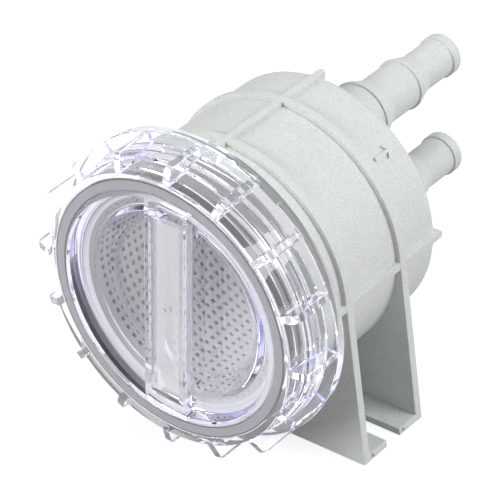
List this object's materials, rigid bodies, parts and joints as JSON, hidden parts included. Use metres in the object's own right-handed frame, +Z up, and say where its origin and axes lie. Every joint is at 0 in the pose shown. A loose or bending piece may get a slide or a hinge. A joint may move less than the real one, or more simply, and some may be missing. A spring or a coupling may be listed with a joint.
{
  "type": "sea water strainer",
  "caption": "Small sea water strainer lying on its moulded foot: clear finned screw lid, ribbed round housing with a basket inside, and stepped hose tails for inlet and outlet.",
  "frame": {"origin": "on the plane of the soles, below the middle of the overall length, on the vertical plane through both hose tails", "axes": "+Z up from the soles to the barrel, +Y along the barrel from the lid to the ends of the hose tails, +X to the right as seen from the lid"},
  "size_m": [0.1012, 0.14, 0.1056],
  "materials": {
    "housing": "fine matt moulded grain",
    "lid": "clear, polished",
    "gasket": "smooth matt rubber",
    "basket": "smooth moulded"
  },
  "bodies": {
    "body": {"housing": "housing", "filter_basket": "basket"},
    "seal": {"lid_gasket": "gasket"},
    "cap": {"lid": "lid"}
  },
  "joints": [
    {"name": "lid_lift", "type": "slide", "parent": "body", "child": "seal", "axis": [0, -1, 0], "range_m": [0, 0.0091]},
    {"name": "lid_turn", "type": "hinge", "parent": "seal", "child": "cap", "pos_m": [0, -0.07, 0.055], "axis": [0, -1, 0], "range_deg": [0, 540]}
  ],
  "couplings": [
    {"joint": "lid_lift", "follows": "lid_turn", "m_per_rad": 0.00095493}
  ]
}
